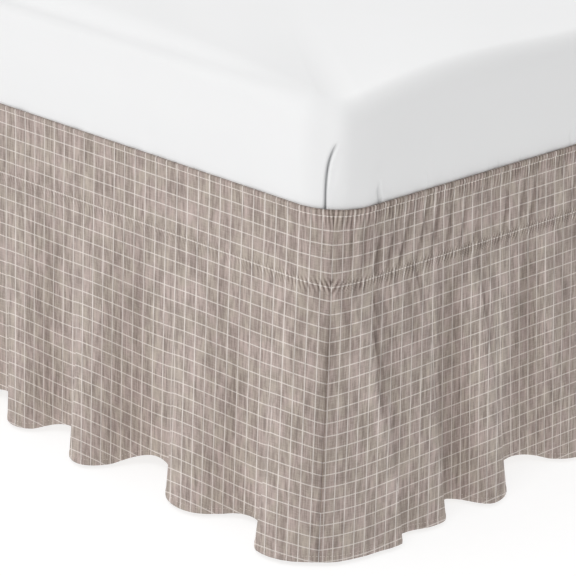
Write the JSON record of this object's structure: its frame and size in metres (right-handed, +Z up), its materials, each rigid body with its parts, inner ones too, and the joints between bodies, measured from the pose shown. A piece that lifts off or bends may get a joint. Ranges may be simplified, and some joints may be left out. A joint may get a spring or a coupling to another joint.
{
  "type": "bed skirt on a mattress and bed base",
  "caption": "Gathered wrap-around bed skirt with an elastic header and a window-pane check, fitted round a plain mattress on a bed base with legs.",
  "frame": {"origin": "middle of the bed on the floor, under the foot of the centre leg", "axes": "+Z up, +Y towards the head of the bed, -Y towards its foot, +X towards its right side"},
  "size_m": [1.6257, 2.1344, 0.6241],
  "materials": {
    "skirt_cloth": "taupe slub cotton and linen with a cream window-pane check",
    "sheet_cloth": "white plain-weave cotton",
    "base_board": "plain pale board",
    "leg_wood": "oiled beech"
  },
  "bodies": {
    "root": {"skirt_foot": "skirt_cloth", "skirt_side_left": "skirt_cloth", "skirt_side_right": "skirt_cloth", "skirt_head": "skirt_cloth", "mattress": "sheet_cloth", "bed_base": "base_board", "leg_foot_left": "leg_wood", "leg_foot_centre": "leg_wood", "leg_foot_right": "leg_wood", "leg_middle_left": "leg_wood", "leg_middle_centre": "leg_wood", "leg_middle_right": "leg_wood", "leg_head_left": "leg_wood", "leg_head_centre": "leg_wood", "leg_head_right": "leg_wood"}
  },
  "joints": []
}
